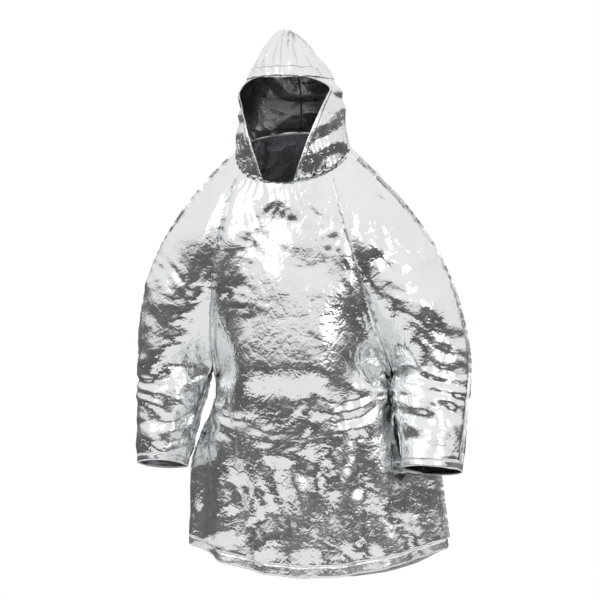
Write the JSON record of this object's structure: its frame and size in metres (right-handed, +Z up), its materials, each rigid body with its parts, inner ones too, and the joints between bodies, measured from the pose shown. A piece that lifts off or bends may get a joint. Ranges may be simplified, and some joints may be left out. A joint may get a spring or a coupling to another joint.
{
  "type": "hooded emergency poncho",
  "caption": "Hooded, sleeved emergency poncho of crinkled silver metallised film, shown as worn, with a peaked hood, wide raglan sleeves and a flared hem.",
  "frame": {"origin": "middle of the neck, level with the two sides of the neck seam", "axes": "+Z up to the hood's peak, front of the garment faces -Y, the wearer's left arm on +X"},
  "size_m": [0.84, 0.3729, 1.361],
  "materials": {
    "metallised_film": "crinkled mirror-bright vacuum-metallised polyester film",
    "sealed_seam": "heat-sealed double film, slightly duller",
    "folded_hem": "folded double film"
  },
  "bodies": {
    "garment": {"front_panel": "metallised_film", "back_panel": "metallised_film", "front_hem": "folded_hem", "back_hem": "folded_hem", "neck_seam": "sealed_seam", "left_sleeve_front": "metallised_film", "left_sleeve_back": "metallised_film", "left_front_raglan_seam": "sealed_seam", "left_back_raglan_seam": "sealed_seam", "left_overarm_seam": "sealed_seam", "left_side_seam": "sealed_seam", "left_sleeve_folds": "metallised_film", "right_sleeve_front": "metallised_film", "right_sleeve_back": "metallised_film", "right_front_raglan_seam": "sealed_seam", "right_back_raglan_seam": "sealed_seam", "right_overarm_seam": "sealed_seam", "right_side_seam": "sealed_seam", "right_sleeve_folds": "metallised_film"},
    "left_sleeve_end": {"left_sleeve_end_front": "metallised_film", "left_sleeve_end_back": "metallised_film", "left_sleeve_end_seams": "sealed_seam", "left_cuff_hem": "folded_hem"},
    "right_sleeve_end": {"right_sleeve_end_front": "metallised_film", "right_sleeve_end_back": "metallised_film", "right_sleeve_end_seams": "sealed_seam", "right_cuff_hem": "folded_hem"},
    "hood": {"hood_left_panel": "metallised_film", "hood_right_panel": "metallised_film", "hood_centre_seam": "sealed_seam", "hood_face_hem": "folded_hem"}
  },
  "joints": [
    {"name": "left_sleeve_swing", "type": "hinge", "parent": "garment", "child": "left_sleeve_end", "pos_m": [0.348, -0.012, -0.59], "axis": [-1, 0, 0], "range_deg": [0, 45], "deforming": ["left_sleeve_folds"]},
    {"name": "right_sleeve_swing", "type": "hinge", "parent": "garment", "child": "right_sleeve_end", "pos_m": [-0.298, -0.006, -0.59], "axis": [-1, 0, 0], "range_deg": [0, 45], "deforming": ["right_sleeve_folds"]},
    {"name": "hood_fold_back", "type": "hinge", "parent": "garment", "child": "hood", "pos_m": [0, 0.09, 0.058], "axis": [-1, 0, 0], "range_deg": [0, 75]}
  ]
}
